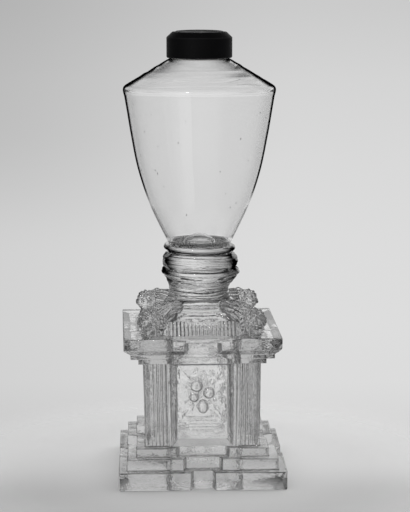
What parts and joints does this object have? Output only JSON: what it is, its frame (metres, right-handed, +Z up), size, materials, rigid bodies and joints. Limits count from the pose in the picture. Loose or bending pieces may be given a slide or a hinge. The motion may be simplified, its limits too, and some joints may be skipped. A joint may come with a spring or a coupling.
{
  "type": "whale oil lamp",
  "caption": "Whale oil lamp with a clear blown glass font on glass wafers, a stepped hollow pressed glass base and a dark threaded collar.",
  "frame": {"origin": "centre of the underside of the base", "axes": "+Z up through the font to the collar; -Y is the front; the base's sides lie square to X and Y"},
  "size_m": [0.0896, 0.0896, 0.2406],
  "materials": {
    "collar_pewter": "dark oxidised pewter, satin",
    "plaster": "dull plaster",
    "blown_glass": "clear free-blown glass, glossy",
    "stem_glass": "clear tooled glass, glossy",
    "pressed_glass": "clear pressed glass, fire-polished with a faint mould texture"
  },
  "bodies": {
    "root": {"collar": "collar_pewter", "collar_cement": "plaster", "font": "blown_glass", "wafer_upper": "stem_glass", "wafer_middle": "stem_glass", "stem_knop": "stem_glass", "pressed_base": "pressed_glass"}
  },
  "joints": []
}
